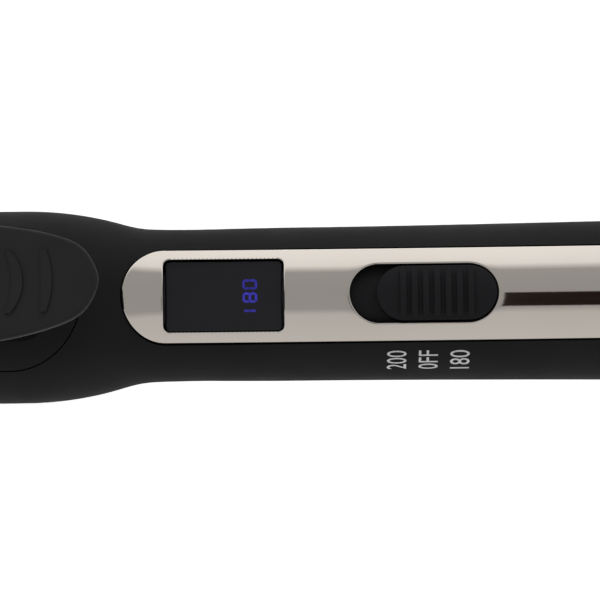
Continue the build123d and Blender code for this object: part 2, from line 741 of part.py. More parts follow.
with BuildPart() as lever_arm:
    add(prism(lever_outline()) & rim_band(PAD_T, PAD_T + LEVER_DEPTH, 30.0))
    hollow = prism(lever_outline(-LEVER_WALL)) & rim_band(PAD_T + LEVER_WALL, PAD_T + 20.0, 30.0)
    add(hollow, mode=Mode.SUBTRACT)
    with BuildSketch(SIDE):
        with Locations((PIVOT_X, PIVOT_Z)):
            Circle(LEVER_HUB_R)
        with Locations((0.6, 25.6)):
            Rectangle(3.0, 3.6)
        make_hull()
        with Locations(((FLANGE_FRONT_X + PIVOT_X) / 2, FLANGE_Z - FLANGE_T / 2)):
            Rectangle(PIVOT_X - FLANGE_FRONT_X, FLANGE_T)
    extrude(amount=LEVER_HUB_HALF_W, both=True)
    with BuildSketch(SIDE):
        with Locations((PIVOT_X, PIVOT_Z)):
            Circle(PIN_R + 0.05)
    extrude(amount=12.0, both=True, mode=Mode.SUBTRACT)
    # The underside in front of the pivot is hollowed to sit on the blade's tongue.
    with BuildSketch(Plane(origin=(-20.0, 0, AXIS_Z + TONGUE_LIFT), x_dir=(0, 1, 0), z_dir=(1, 0, 0))):
        Circle(BLADE_BELLY + 0.02)
    extrude(amount=30.0, mode=Mode.SUBTRACT)
    for x, y in RIVET_SPOTS:
        with BuildSketch(level(0)):
            with Locations((x, y)):
                Circle(RIVET_R + 0.02)
        extrude(amount=FAR, mode=Mode.SUBTRACT)
save(lever_arm.part, "lever_arm")

RIVET_L, RIVET_HEAD_T = 4.0, 0.7
with BuildPart() as clamp_rivets:
    for x, y in RIVET_SPOTS:
        with BuildSketch(level(FLANGE_Z)):
            with Locations((x, y)):
                Circle(RIVET_R)
        extrude(amount=-RIVET_L)
        with BuildSketch(level(FLANGE_Z)):
            with Locations((x, y)):
                Circle(RIVET_HEAD_R)
        extrude(amount=RIVET_HEAD_T)
save(clamp_rivets.part, "clamp_rivets")

def crest_outline(x, bow):
    """Plan of one raised crescent, bowed towards the pad's tip."""
    with BuildSketch() as outline:
        with BuildLine():
            lead = ThreePointArc((x - bow, -CREST_L / 2), (x, 0), (x - bow, CREST_L / 2))
            end_x = x - bow - CREST_W / 2
            trail = ThreePointArc((end_x, -CREST_L / 2), (x - CREST_W, 0), (end_x, CREST_L / 2))
            Line(lead @ 0, trail @ 0)
            Line(lead @ 1, trail @ 1)
        make_face()
    return outline.sketch


with BuildPart() as lever_pad:
    with BuildSketch(mode=Mode.PRIVATE) as pad_plan:
        with BuildLine():
            half_points = [(PAD_TIP_X, 0), *PAD_SIDE, (PAD_FRONT_X, 0)]
            half = Spline(*half_points, tangents=[(0, 1), (0, -1)], tangent_scalars=[0.6, 0.6])
            mirror(half, about=Plane.XZ)
        make_face()
    add(prism(pad_plan.sketch) & rim_band(0.0, PAD_T, 30.0))
    top_rim = lever_pad.faces().sort_by(Axis.Z)[-1].edges()
    fillet(top_rim, PAD_EDGE)
    for crest_x, bow in CRESTS:
        add(prism(crest_outline(crest_x, bow)) & rim_band(-CREST_RISE, PAD_T / 2, 30.0))
save(lever_pad.part, "lever_pad")

with BuildPart() as hinge_pin:
    pin_plane = SIDE.offset(-EAR_OUT - 0.8)
    with BuildSketch(pin_plane):
        with Locations((PIVOT_X, PIVOT_Z)):
            Circle(PIN_R)
    extrude(amount=2 * (EAR_OUT + 0.8))
    for side in (-1, 1):
        with BuildSketch(SIDE.offset(side * (EAR_OUT + 0.02))):
            with Locations((PIVOT_X, PIVOT_Z)):
                Circle(2.3)
        extrude(amount=side * 0.9)
save(hinge_pin.part, "hinge_pin")

with BuildPart() as clamp_spring:
    spring_length = SPRING_TOP_Z - SPRING_FLOOR_Z - 2 * SPRING_WIRE_R
    coil_start = (SPRING_X, 0, AXIS_Z + SPRING_FLOOR_Z + SPRING_WIRE_R)
    with BuildLine():
        coil = Helix(spring_length / SPRING_TURNS, spring_length, SPRING_R, center=coil_start)
    with BuildSketch(Plane(origin=coil @ 0, z_dir=coil % 0)):
        Circle(SPRING_WIRE_R)
    sweep(path=coil, is_frenet=True)
save(clamp_spring.part, "clamp_spring")

# ---------------------------------------------------------------- stand and cord gland
FOOT_Z = -AXIS_Z + STAND_WIRE_R
with BuildPart() as stand:
    with BuildLine():
        loop = FilletPolyline(
            (STAND_X, -STAND_PIN_END_Y, AXIS_Z + STAND_Z),
            (STAND_X, -STAND_HALF_W, AXIS_Z + STAND_Z),
            (STAND_FOOT_X, -STAND_HALF_W, AXIS_Z + FOOT_Z),
            (STAND_FOOT_X, STAND_HALF_W, AXIS_Z + FOOT_Z),
            (STAND_X, STAND_HALF_W, AXIS_Z + STAND_Z),
            (STAND_X, STAND_PIN_END_Y, AXIS_Z + STAND_Z),
            radius=[STAND_CORNER_R, STAND_BEND_R, STAND_BEND_R, STAND_CORNER_R],
        )
    with BuildSketch(Plane(origin=loop @ 0, z_dir=loop % 0)):
        Circle(STAND_WIRE_R)
    sweep(path=loop)
save(stand.part, "stand")

FLANGE_X0, FLANGE_X1 = BULKHEAD_X1 + 0.2, TAIL_X - WALL - 0.2
with BuildPart() as swivel_gland:
    with BuildSketch(SIDE):
        with BuildLine():
            Polyline(
                (BULKHEAD_X0 - 4.0, 0),
                (BULKHEAD_X0 - 4.0, GLAND_R),
                (FLANGE_X0, GLAND_R),
                (FLANGE_X0, GLAND_FLANGE_R),
                (FLANGE_X1 - 0.6, GLAND_FLANGE_R),
                (FLANGE_X1, GLAND_FLANGE_R - 0.6),
                (FLANGE_X1, GLAND_R),
                (TAIL_X + 2.5, GLAND_R),
                (TAIL_X + 3.5, GLAND_R - 0.8),
                (GLAND_X - 1.0, 6.0),
                (GLAND_X, 5.2),
                (GLAND_X, 0),
                close=True,
            )
        make_face()
    revolve(axis=IRON_AXIS)
    with BuildSketch(station(BULKHEAD_X0 - 6.0)):
        Circle(CORD_R)
    extrude(amount=40.0, mode=Mode.SUBTRACT)
save(swivel_gland.part, "swivel_gland")
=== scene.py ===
"""Looks of the curling iron: its materials and rounded edges, the switch labels, the plated inlay with its
rolled edges, the display digits, the clamp spring, and the stage, light and camera."""

import json
from math import cos, hypot, pi, radians, sin, sqrt

import bpy
import numpy as np
from mathutils import Matrix, Vector
from mathutils.geometry import delaunay_2d_cdt


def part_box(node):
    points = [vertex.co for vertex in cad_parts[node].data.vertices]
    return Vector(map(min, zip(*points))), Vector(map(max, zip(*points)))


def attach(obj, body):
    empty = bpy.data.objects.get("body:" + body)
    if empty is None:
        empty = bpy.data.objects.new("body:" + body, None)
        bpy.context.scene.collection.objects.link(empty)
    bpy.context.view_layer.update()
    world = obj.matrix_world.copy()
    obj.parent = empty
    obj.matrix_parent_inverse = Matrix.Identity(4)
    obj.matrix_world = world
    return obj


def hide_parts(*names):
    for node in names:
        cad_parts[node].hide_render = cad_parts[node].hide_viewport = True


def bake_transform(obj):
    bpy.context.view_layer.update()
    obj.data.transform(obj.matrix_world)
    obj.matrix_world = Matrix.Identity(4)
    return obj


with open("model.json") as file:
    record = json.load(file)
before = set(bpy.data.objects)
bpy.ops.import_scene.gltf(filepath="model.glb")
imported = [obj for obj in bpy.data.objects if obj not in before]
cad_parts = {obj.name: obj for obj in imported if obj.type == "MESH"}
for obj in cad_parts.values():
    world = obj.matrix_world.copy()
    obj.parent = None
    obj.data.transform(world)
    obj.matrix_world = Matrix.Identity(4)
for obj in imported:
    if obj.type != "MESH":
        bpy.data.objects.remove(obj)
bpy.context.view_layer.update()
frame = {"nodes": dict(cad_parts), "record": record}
NODES = frame["nodes"]
MM = 0.001

# ---------------------------------------------------------------- places read from the frame
barrel_low, barrel_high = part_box("barrel")
inlay_low, inlay_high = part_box("inlay_trim")
lens_low, lens_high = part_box("display_lens")
switch_low, switch_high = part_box("slide_switch_body")
spring_low, spring_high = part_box("clamp_spring")
AXIS_Z = (barrel_low[2] + barrel_high[2]) / 2
SLOT_X = (switch_low[0] + switch_high[0]) / 2
WINDOW_X = (lens_low[0] + lens_high[0]) / 2
SPRING_X = (spring_low[0] + spring_high[0]) / 2


# ---------------------------------------------------------------- mesh helpers
def add_object(name, data):
    obj = bpy.data.objects.new(name, data)
    bpy.context.collection.objects.link(obj)
    return obj


def add_mesh(name, verts, faces, material):
    mesh = bpy.data.meshes.new(name)
    mesh.from_pydata(verts, [], faces)
    mesh.materials.append(material)
    return add_object(name, mesh)


# ---------------------------------------------------------------- material helpers
NOISE_SPAN = (0.3, 0.7)  # most of a noise texture's values lie between these
MOTTLE = 0.10


def set_stops(ramp, stops):
    """Gives a colour ramp node its stops, which come in rising order."""
    elements = ramp.color_ramp.elements
    elements[1].position = stops[-1][0]
    elements[1].color = (*stops[-1][1], 1.0)
    elements[0].position = stops[0][0]
    elements[0].color = (*stops[0][1], 1.0)
    for at, colour in stops[1:-1]:
        elements.new(at).color = (*colour, 1.0)


class Graph:
    """A material's node tree with a Principled shader, and short calls to add nodes to it."""

    def __init__(self, name, rough=0.5, metal=0.0, specular=0.5):
        self.material = bpy.data.materials.new(name)
        self.material.use_nodes = True
        self.tree = self.material.node_tree
        self.shader = self.tree.nodes["Principled BSDF"]
        self.set("Roughness", rough)
        self.set("Metallic", metal)
        self.set("Specular IOR Level", specular)

    def set(self, socket, value):
        self.shader.inputs[socket].default_value = value

    def drive(self, socket, source):
        self.link(source, self.shader.inputs[socket])

    def link(self, source, target):
        self.tree.links.new(source, target)

    def node(self, kind, **inputs):
        """A new node, with values on some of its input sockets."""
        made = self.tree.nodes.new(kind)
        for name, value in inputs.items():
            made.inputs[name].default_value = value
        return made

    def place(self, stretch=(1, 1, 1)):
        """Object coordinates in metres, multiplied by stretch."""
        mapping = self.node("ShaderNodeMapping", Scale=stretch)
        self.link(self.node("ShaderNodeTexCoord").outputs["Object"], mapping.inputs["Vector"])
        return mapping.outputs["Vector"]

    def noise(self, scale, detail, stretch=(1, 1, 1)):
        """A noise texture's value. The scale is in waves per metre."""
        made = self.node("ShaderNodeTexNoise", Scale=scale, Detail=detail)
        self.link(self.place(stretch), made.inputs["Vector"])
        return made.outputs["Fac"]

    def waves(self, direction, scale, distortion=0.0):
        """A value that goes up and down in bands."""
        made = self.node("ShaderNodeTexWave", Scale=scale, Distortion=distortion)
        made.bands_direction = direction
        self.link(self.place(), made.inputs["Vector"])
        return made.outputs["Fac"]

    def ramp(self, fac, low, high, span=NOISE_SPAN):
        """A colour that goes from low to high as fac goes through the span."""
        made = self.node("ShaderNodeValToRGB")
        set_stops(made, [(span[0], low), (span[1], high)])
        self.link(fac, made.inputs["Fac"])
        return made.outputs["Color"]

    def spread(self, fac, low, high):
        """A noise value stretched to low..high."""
        made = self.node("ShaderNodeMapRange")
        limits = {"From Min": NOISE_SPAN[0], "From Max": NOISE_SPAN[1], "To Min": low, "To Max": high}
        for name, value in limits.items():
            made.inputs[name].default_value = value
        self.link(fac, made.inputs["Value"])
        return made.outputs["Result"]

    def bump(self, height, distance, after=None):
        made = self.node("ShaderNodeBump", Distance=distance, Strength=1.0)
        self.link(height, made.inputs["Height"])
        if after is not None:
            self.link(after, made.inputs["Normal"])
        return made.outputs["Normal"]


def shade(colour, factor):
    return tuple(channel * factor for channel in colour)


def moulded(name, colour, rough, grain, depth, specular=0.5):
    """Moulded plastic: a fine spark texture in relief, a slow change of tone and uneven gloss."""
    g = Graph(name, rough=rough, specular=specular)
    g.drive("Base Color", g.ramp(g.noise(45.0, 4.0), shade(colour, 1 - MOTTLE), shade(colour, 1 + MOTTLE)))
    g.drive("Roughness", g.spread(g.noise(160.0, 3.0), rough - 0.04, rough + 0.05))
    coarse = g.bump(g.noise(1 / grain, 3.0), depth)
    g.drive("Normal", g.bump(g.noise(3 / grain, 2.0), depth * 0.4, after=coarse))
    return g.material


def plated(name, colour, rough, stretch, depth=0.0):
    """Plated metal: a slow change of tone, and hairlines of uneven gloss along the axes of small stretch."""
    g = Graph(name, rough=rough, metal=1.0)
    g.drive("Base Color", g.ramp(g.noise(30.0, 3.0), shade(colour, 0.97), shade(colour, 1.02)))
    g.drive("Roughness", g.spread(g.noise(700.0, 3.0, stretch), rough * 0.8, rough * 1.25))
    if depth:
        g.drive("Normal", g.bump(g.noise(900.0, 2.0, stretch), depth))
    return g.material


def steel(name, colour, rough):
    return plated(name, colour, rough, stretch=(1, 0.1, 0.1), depth=0.002 * MM)


# ---------------------------------------------------------------- the materials
SOFT_BLACK = (0.0200, 0.0196, 0.0202)
HARD_BLACK = (0.0150, 0.0148, 0.0148)
PAD_BLACK = (0.0305, 0.0302, 0.0320)
KNOB_BLACK = (0.0165, 0.0165, 0.0185)
# Painted shade: the lever arm's colour is darkened for the shade that falls on it under the thumb rest.
LEVER_PAINTED_SHADE = (0.0060, 0.0058, 0.0058)
CHAMPAGNE = (0.86, 0.795, 0.725)
CHROME = (0.60, 0.597, 0.593)
ALUMINIUM = (0.74, 0.74, 0.75)


def smoke_lens():
    """Tinted clear plastic over a dark display: glossy, with the faint haze of handling."""
    g = Graph("smoke_lens", rough=0.12, specular=0.3)
    g.drive("Base Color", g.ramp(g.noise(60.0, 3.0), (0.0160, 0.0155, 0.0200), (0.0180, 0.0175, 0.0225)))
    g.drive("Roughness", g.spread(g.noise(250.0, 4.0), 0.09, 0.17))
    return g.material


def display_glow(name, strength):
    """Dim blue display segments of slightly uneven brightness."""
    g = Graph(name, rough=0.3)
    lit = g.ramp(g.noise(900.0, 2.0), (0.020, 0.018, 0.22), (0.035, 0.030, 0.40))
    g.drive("Base Color", lit)
    g.drive("Emission Color", lit)
    g.set("Emission Strength", strength)
    return g.material


def label_ink():
    """Light grey pad print with slightly uneven cover."""
    g = Graph("label_ink", rough=0.5)
    g.drive("Base Color", g.ramp(g.noise(2500.0, 3.0), (0.52, 0.52, 0.52), (0.72, 0.72, 0.71)))
    g.drive("Normal", g.bump(g.noise(4000.0, 2.0), 0.003 * MM))
    return g.material


def board():
    """Solder mask over copper tracks."""
    g = Graph("circuit_board_green", rough=0.35)
    tracks = g.waves("Y", 260.0, distortion=3.0)
    g.drive("Base Color", g.ramp(tracks, (0.010, 0.085, 0.025), (0.018, 0.13, 0.04), span=(0.45, 0.55)))
    g.drive("Normal", g.bump(tracks, 0.02 * MM))
    return g.material


def sleeve():
    """Braided glass fibre sleeving on the heater leads."""
    g = Graph("lead_sleeve", rough=0.8)
    braid = g.waves("DIAGONAL", 420.0)
    g.drive("Base Color", g.ramp(braid, (0.50, 0.48, 0.42), (0.74, 0.72, 0.66), span=(0.2, 0.8)))
    g.drive("Normal", g.bump(braid, 0.06 * MM))
    return g.material


SLOT_MATERIALS = {
    "soft_black": moulded("soft_touch_black", SOFT_BLACK, 0.60, 0.28 * MM, 0.010 * MM, specular=0.02),
    "hard_black": moulded("moulded_black", HARD_BLACK, 0.50, 0.35 * MM, 0.012 * MM, specular=0.06),
    "knob_black": moulded("switch_knob_black", KNOB_BLACK, 0.50, 0.30 * MM, 0.008 * MM, specular=0.12),
    "pad_black": moulded("thumb_rest_black", PAD_BLACK, 0.55, 0.30 * MM, 0.010 * MM, specular=0.06),
    "champagne": plated("champagne_plate", CHAMPAGNE, 0.06, stretch=(0.05, 1, 1)),
    "smoke_lens": smoke_lens(),
    "display_black": moulded("display_glass", (0.012, 0.012, 0.02), 0.2, 0.4 * MM, 0.002 * MM),
    "white_plastic": moulded("white_holder", (0.62, 0.62, 0.60), 0.45, 0.3 * MM, 0.01 * MM),
    "board_green": board(),
    "component_black": moulded("component_black", (0.02, 0.02, 0.02), 0.5, 0.2 * MM, 0.01 * MM),
    "switch_metal": steel("switch_case_steel", (0.62, 0.62, 0.61), 0.3),
    "screw_steel": steel("plated_steel", (0.40, 0.40, 0.41), 0.34),
    "barrel_chrome": plated("barrel_chrome", CHROME, 0.10, stretch=(1, 0.08, 0.08)),
    "heater_aluminium": plated("heater_aluminium", ALUMINIUM, 0.36, stretch=(0.04, 1, 1), depth=0.004 * MM),
    "heater_ceramic": moulded("fired_ceramic", (0.72, 0.69, 0.62), 0.6, 0.15 * MM, 0.01 * MM),
    "sensor_glass": moulded("sensor_bead", (0.42, 0.18, 0.09), 0.25, 0.3 * MM, 0.004 * MM),
    "fuse_steel": steel("fuse_case", (0.66, 0.64, 0.58), 0.28),
    "lead_sleeve": sleeve(),
    "mica_brown": moulded("heat_proof_brown", (0.16, 0.085, 0.045), 0.6, 0.3 * MM, 0.02 * MM),
    "spring_steel": steel("spring_steel", (0.50, 0.50, 0.51), 0.3),
    "stand_wire": steel("stand_wire_plating", (0.46, 0.46, 0.47), 0.22),
}

for part in frame["record"]["subparts"]:
    mesh = NODES[part["node"]].data
    mesh.materials.clear()
    mesh.materials.append(SLOT_MATERIALS[part["material_slot"]])

# The lever under the thumb rest is moulded like the collar, with painted shade: its colour is darkened and
# its gloss taken away for the shade under the pad.
NODES["lever_arm"].data.materials[0] = moulded(
    "lever_painted_shade_black", LEVER_PAINTED_SHADE, 0.75, 0.35 * MM, 0.012 * MM, specular=0.0
)


# ---------------------------------------------------------------- rounded edges on the CAD parts
ROUNDED_FROM = radians(35)  # flatter edges than this stay as they are
ROUNDING_MM = {
    "display_lens": 0.12, "switch_slider": 0.25, "lever_base": 0.16,
    "handle_upper_shell": 0.12, "handle_lower_shell": 0.12, "lever_arm": 0.30, "lever_pad": 0.32,
    "barrel_collar": 0.20, "cool_tip": 0.15, "tip_insulator": 0.12, "swivel_gland": 0.20,
    "clamp_blade": 0.08, "clamp_rivets": 0.20, "hinge_pin": 0.20, "circuit_board": 0.08,
    "board_components": 0.15, "slide_switch_body": 0.12, "case_screws": 0.12, "board_screws": 0.12,
}
for node, width in ROUNDING_MM.items():
    bevel = NODES[node].modifiers.new("edge_rounding", "BEVEL")
    bevel.width = width * MM
    bevel.segments = 2
    bevel.limit_method = "ANGLE"
    bevel.angle_limit = ROUNDED_FROM
    bevel.harden_normals = True


# ---------------------------------------------------------------- the grip's round surface
FIT_STRETCH = 8 * MM  # the outermost vertex of each stretch this long is used
FIT_ROUNDS, FIT_SLACK = 6, 0.03 * MM  # vertices deeper than the slack are dropped before each new round


def grip_profile():
    """A parabola for the grip's outer radius along x, through the upper shell's outermost vertices."""
    outermost = {}
    for v in NODES["handle_upper_shell"].data.vertices:
        if inlay_low[0] < v.co.x < inlay_high[0]:
            r, stretch = hypot(v.co.y, v.co.z - AXIS_Z), round(v.co.x / FIT_STRETCH)
            if r > outermost.get(stretch, (0, 0))[1]:
                outermost[stretch] = (v.co.x, r)
    points = np.array(list(outermost.values()))
    for _ in range(FIT_ROUNDS):
        fit = np.polyfit(points[:, 0], points[:, 1], 2)
        points = points[points[:, 1] > np.polyval(fit, points[:, 0]) - FIT_SLACK]
    return fit


GRIP = grip_profile()


def surface_radius(x):
    return float(np.polyval(GRIP, x))


# ---------------------------------------------------------------- the switch's labels
LABEL_CAP, LABEL_RUN, LABEL_PITCH = 3.85 * MM, 5.4 * MM, 6.2 * MM
LABEL_X = SLOT_X + 0.85 * MM
LABEL_ANGLE = radians(54.6)  # from the top of the grip down to the labels' middle
LABEL_LIFT, INK_DEPTH = 0.03 * MM, 0.012 * MM
# The middle one is set with a nought, which is as narrow as the printed O.
LABELS = (("label_200", "200"), ("label_off", "0FF"), ("label_180", "180"))


def text_mesh(name, words, cap_height, width, material):
    """Flat lettering, centred on the origin, condensed to the given width."""
    curve = bpy.data.curves.new(name, "FONT")
    curve.body = words
    curve.extrude = INK_DEPTH
    curve.resolution_u = 6
    source = add_object(name + "_text", curve)
    bpy.context.view_layer.update()
    mesh = bpy.data.meshes.new_from_object(source)
    bpy.data.objects.remove(source)
    mesh.name = name
    xs = [v.co.x for v in mesh.vertices]
    ys = [v.co.y for v in mesh.vertices]
    middle_x, middle_y = (min(xs) + max(xs)) / 2, (min(ys) + max(ys)) / 2
    scale_x, scale_y = width / (max(xs) - min(xs)), cap_height / (max(ys) - min(ys))
    for v in mesh.vertices:
        v.co = Vector(((v.co.x - middle_x) * scale_x, (v.co.y - middle_y) * scale_y, v.co.z))
    mesh.materials.append(material)
    return add_object(name, mesh)


def wrap(obj, x0, angle0, radius, lift):
    """Rolls a flat mesh on to the grip. Its +Y becomes the grip's -X and its +X runs up round the grip."""
    for v in obj.data.vertices:
        across, along, up = v.co
        r = radius + lift + up
        angle = angle0 - across / radius
        v.co = Vector((x0 - along, -r * sin(angle), AXIS_Z + r * cos(angle)))
    obj.data.update()


ink = label_ink()
for step, (name, words) in enumerate(LABELS, start=-1):
    label = text_mesh(name, words, LABEL_CAP, LABEL_RUN, ink)
    label_x = LABEL_X + step * LABEL_PITCH
    wrap(label, label_x, LABEL_ANGLE, surface_radius(label_x), LABEL_LIFT)
    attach(label, "handle")


# ---------------------------------------------------------------- the plated inlay
# One pressed strip. Its edge rolls over all round, and further down round its two openings.
INLAY_HALF_W = (inlay_high[1] - inlay_low[1]) / 2
INLAY_END = 8.3 * MM  # length of each elliptical end
INLAY_RISE, INLAY_T = 0.15 * MM, 1.05 * MM
EDGE_ROLL, EDGE_DROP = 0.34 * MM, 0.05 * MM
LIP_ROLL, LIP_DROP = 0.36 * MM, 0.13 * MM
STEEPEST = 0.9  # share of a roll's quarter ellipse that is used, which keeps its slope finite
DISH_RUN, DISH_DROP = 1.9 * MM, 0.030 * MM  # shallow dish that the pressing left round each opening
DOME_RUN, DOME_DROP, END_FLAT = 9.0 * MM, 0.12 * MM, 0.16  # the ends sink, and are flatter across
# The openings: half the length and half the width, and the corner radius, which makes the slot's ends round.
WINDOW_HALF, WINDOW_CORNER = (11.85 * MM, 7.2 * MM), 1.4 * MM
SLOT_HALF, SLOT_CORNER = (14.55 * MM, 5.85 * MM), 5.8499 * MM
OPENINGS = ((WINDOW_X, WINDOW_HALF, WINDOW_CORNER), (SLOT_X, SLOT_HALF, SLOT_CORNER))

# The mesh: rows of points follow each edge at these insets, and a square grid fills the rest.
INSETS = [step * MM for step in (0.0, 0.04, 0.09, 0.15, 0.22, 0.29, 0.37, 0.50, 0.70, 1.0, 1.4, 1.9)]
EDGE_STEP, SHORTEST_RUN = 0.8 * MM, 0.02 * MM
END_STEPS, CORNER_STEPS = 60, 16
GRID, GRID_GAP = 1.0 * MM, 0.4 * MM
MERGE_DISTANCE = 1e-7


def arc(centre, radii, start, sweep, steps):
    """Points along an ellipse, anticlockwise from the angle start."""
    turns = [start + sweep * i / steps for i in range(steps + 1)]
    return [(centre[0] + radii[0] * cos(a), centre[1] + radii[1] * sin(a)) for a in turns]


def spaced(points):
    """The closed loop again, with points added along its long runs and none too close together."""
    out = []
    for (x0, y0), (x1, y1) in zip(points, points[1:] + points[:1]):
        run = hypot(x1 - x0, y1 - y0)
        if run > SHORTEST_RUN:
            count = max(1, round(run / EDGE_STEP))
            out += [(x0 + (x1 - x0) * i / count, y0 + (y1 - y0) * i / count) for i in range(count)]
    return out


def outline_loop():
    points = []
    for x, start in ((inlay_low[0] + INLAY_END, pi / 2), (inlay_high[0] - INLAY_END, -pi / 2)):
        points += arc((x, 0.0), (INLAY_END, INLAY_HALF_W), start, pi, END_STEPS)
    return spaced(points)


def opening_loop(centre, half, radius):
    points = []
    for quarter, (sx, sy) in enumerate(((1, 1), (-1, 1), (-1, -1), (1, -1))):
        corner = (centre + sx * (half[0] - radius), sy * (half[1] - radius))
        points += arc(corner, (radius, radius), quarter * pi / 2, pi / 2, CORNER_STEPS)
    return spaced(points)


def edge_normals(loop):
    """For each point of an anticlockwise loop, the unit direction out of it."""
    out = []
    for (x0, y0), (x2, y2) in zip(loop[-1:] + loop[:-1], loop[1:] + loop[:1]):
        size = hypot(x2 - x0, y2 - y0)
        out.append(((y2 - y0) / size, (x0 - x2) / size))
    return out


def roll(inset, width, drop, dish):
    """How far the face has sunk this far in from an edge, and its slope: a quarter ellipse, and the dish."""
    t = min(max(1 - inset / width, 0.0), STEEPEST)
    u = max(1 - inset / DISH_RUN, 0.0)
    sunk = drop * (1 - sqrt(1 - t * t)) + dish * u * u
    return sunk, -drop / width * t / sqrt(1 - t * t) - 2 * dish * u / DISH_RUN


def inlay_top(x, y, sunk, slope_x, slope_y):
    """Height and normal of the strip's face, with the sinking and slope of a rolled edge added."""
    radius = surface_radius(x) + INLAY_RISE
    rise = sqrt(radius * radius - y * y)
    front, back = 1 - (x - inlay_low[0]) / DOME_RUN, 1 - (inlay_high[0] - x) / DOME_RUN
    dome = max(front, back, 0.0)
    towards = 1 if front > back else -1
    flat = END_FLAT * dome * dome
    gx = slope_x + towards * 2 * DOME_DROP * dome / DOME_RUN
    gy = slope_y - y / rise + flat * y / radius
    z = AXIS_Z + rise - sunk - DOME_DROP * dome * dome + flat * y * y / (2 * radius)
    return z, Vector((-gx, -gy, 1)).normalized()


def in_opening(x, y, spare=0.0):
    """Whether a plan point lies in an opening, or less than spare away from one."""
    for centre, half, corner in OPENINGS:
        dx = max(0.0, abs(x - centre) - half[0] + corner)
        dy = max(0.0, abs(y) - half[1] + corner)
        if hypot(dx, dy) < corner + spare:
            return True
    return False


def edge_rows():
    """Plan points along every edge, with the sinking and slope at each, and the edges that the mesh keeps."""
    points, keep = [], []
    rims = [(outline_loop(), -1, EDGE_ROLL, EDGE_DROP, 0.0)]
    rims += [(opening_loop(*opening), 1, LIP_ROLL, LIP_DROP, DISH_DROP) for opening in OPENINGS]
    for loop, side, width, drop, dish in rims:
        outward = edge_normals(loop)
        for inset in INSETS:
            first = len(points)
            sunk, slope = roll(inset, width, drop, dish)
            step, tilt = side * inset, -side * slope
            for (x, y), (nx, ny) in zip(loop, outward):
                points.append((x + nx * step, y + ny * step, sunk, tilt * nx, tilt * ny))
            if inset == 0.0:
                keep += [(first + i, first + (i + 1) % len(loop)) for i in range(len(loop))]
    return points, keep


def grid_points():
    """Plan points of the flat part, clear of the rows along the edges."""
    points, clear = [], INSETS[-1] + GRID_GAP
    columns = round((inlay_high[0] - inlay_low[0]) / GRID)
    rows = round(INLAY_HALF_W / GRID)
    for column in range(1, columns):
        x = inlay_low[0] + column * GRID
        run = max(0.0, inlay_low[0] + INLAY_END - x, x - inlay_high[0] + INLAY_END)
        for row in range(1 - rows, rows):
            y = row * GRID
            room = hypot(run / (INLAY_END - clear), y / (INLAY_HALF_W - clear))
            if room < 1 and not in_opening(x, y, clear):
                points.append((x, y, 0.0, 0.0, 0.0))
    return points


def inlay_mesh(name, material):
    points, keep = edge_rows()
    points += grid_points()
    plan = [Vector(point[:2]) for point in points]
    _, _, cells, origins, _, _ = delaunay_2d_cdt(plan, keep, [], 0, MERGE_DISTANCE)
    sources = [points[ids[0]] for ids in origins]
    triangles = []
    for face in cells:
        x, y = (sum(sources[i][axis] for i in face) / 3 for axis in (0, 1))
        if not in_opening(x, y):
            a, b, c = (Vector(sources[i][:2]) for i in face)
            triangles.append(face if (b - a).cross(c - a) > 0 else face[::-1])
    tops = [inlay_top(*source) for source in sources]
    count = len(sources)
    verts = [(x, y, top[0]) for (x, y, *_), top in zip(sources, tops)]
    verts += [(x, y, z - INLAY_T) for x, y, z in verts]
    sides = {(face[i], face[(i + 1) % 3]) for face in triangles for i in range(3)}
    walls = [(b, a, a + count, b + count) for a, b in sides if (b, a) not in sides]
    faces = [tuple(face) for face in triangles]
    faces += [tuple(i + count for i in reversed(face)) for face in triangles] + sorted(walls)
    obj = add_mesh(name, verts, faces, material)
    normals = []
    for face in obj.data.polygons:
        face.use_smooth = True
        upper = face.index < len(triangles)
        normals += [tops[i][1] if upper else face.normal for i in face.vertices]
    obj.data.normals_split_custom_set(normals)
    return obj


inlay = inlay_mesh("inlay_strip", SLOT_MATERIALS["champagne"])
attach(inlay, "handle")
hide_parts("inlay_trim")


# ---------------------------------------------------------------- display digits: seven-segment strokes
DIGIT_H, DIGIT_W, STROKE = 2.9 * MM, 2.05 * MM, 0.50 * MM
DIGIT_PITCH, FIRST_DIGIT_Y = 2.6 * MM, -2.95 * MM
DIGIT_X = WINDOW_X + 5.1 * MM
DIGIT_LIFT, DIGIT_T = 0.004 * MM, 0.02 * MM
DIGIT_GLOW = (0.22, 0.55, 0.25)
LEVEL_RUN, UPRIGHT_RUN = DIGIT_W - 0.75 * STROKE, DIGIT_H / 2 - 0.3 * STROKE
SIDE_X, END_Y = (DIGIT_W - STROKE) / 2, (DIGIT_H - STROKE) / 2
STROKES = {  # centre of each stroke in its digit's plane, and whether it is upright
    "a": (0, END_Y, False), "g": (0, 0, False), "d": (0, -END_Y, False),
    "b": (SIDE_X, END_Y / 2, True), "c": (SIDE_X, -END_Y / 2, True),
    "e": (-SIDE_X, -END_Y / 2, True), "f": (-SIDE_X, END_Y / 2, True),
}
FIGURES = {"1": "bc", "8": "abcdefg", "0": "abcdef"}


def stroke_ring(upright):
    """A stroke's outline with pointed ends, anticlockwise round its centre."""
    end, side = (UPRIGHT_RUN if upright else LEVEL_RUN) / 2, STROKE / 2
    inner = end - side
    ring = [(-end, 0), (-inner, -side), (inner, -side), (end, 0), (inner, side), (-inner, side)]
    return [(-y, x) for x, y in ring] if upright else ring


